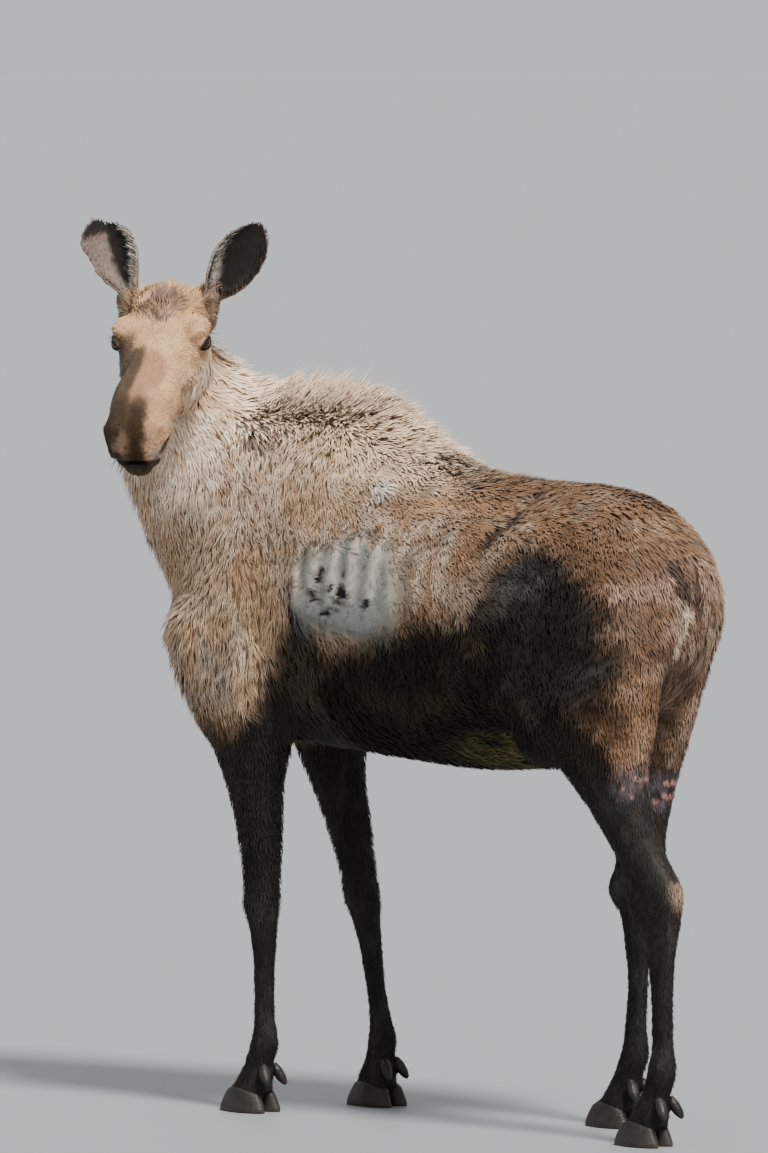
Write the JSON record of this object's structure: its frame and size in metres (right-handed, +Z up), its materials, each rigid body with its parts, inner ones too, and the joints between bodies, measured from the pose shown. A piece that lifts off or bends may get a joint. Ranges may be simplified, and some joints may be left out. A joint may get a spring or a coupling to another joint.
{
  "type": "cow moose",
  "caption": "Life-size still model of a cow moose in moulting summer coat, standing and looking back over its left shoulder.",
  "frame": {"origin": "centre of the bounding box at floor level, under the belly", "axes": "+Z up; the body faces -Y and its left side is +X; the head is turned towards +X and +Y"},
  "size_m": [1.0366, 1.8268, 2.2474],
  "materials": {
    "coat": "long matt hair, tan to brown",
    "dark_coat": "short dark hair",
    "face": "short soft hair",
    "ear": "short hair, dark inside",
    "claw": "dull horn",
    "eye": "wet and glossy, dark brown"
  },
  "bodies": {
    "root": {"head": "face", "left_ear": "ear", "left_eye": "eye", "left_fore_cannon": "dark_coat", "left_fore_claw_inner": "claw", "left_fore_claw_outer": "claw", "left_fore_dewclaw_inner": "claw", "left_fore_dewclaw_outer": "claw", "left_fore_forearm": "dark_coat", "left_hind_cannon": "dark_coat", "left_hind_claw_inner": "claw", "left_hind_claw_outer": "claw", "left_hind_dewclaw_inner": "claw", "left_hind_dewclaw_outer": "claw", "left_hind_shank": "dark_coat", "left_hind_thigh": "coat", "neck": "coat", "right_ear": "ear", "right_eye": "eye", "right_fore_cannon": "dark_coat", "right_fore_claw_inner": "claw", "right_fore_claw_outer": "claw", "right_fore_dewclaw_inner": "claw", "right_fore_dewclaw_outer": "claw", "right_fore_forearm": "dark_coat", "right_hind_cannon": "dark_coat", "right_hind_claw_inner": "claw", "right_hind_claw_outer": "claw", "right_hind_dewclaw_inner": "claw", "right_hind_dewclaw_outer": "claw", "right_hind_shank": "dark_coat", "right_hind_thigh": "coat", "tail": "coat", "trunk": "coat"}
  },
  "joints": []
}
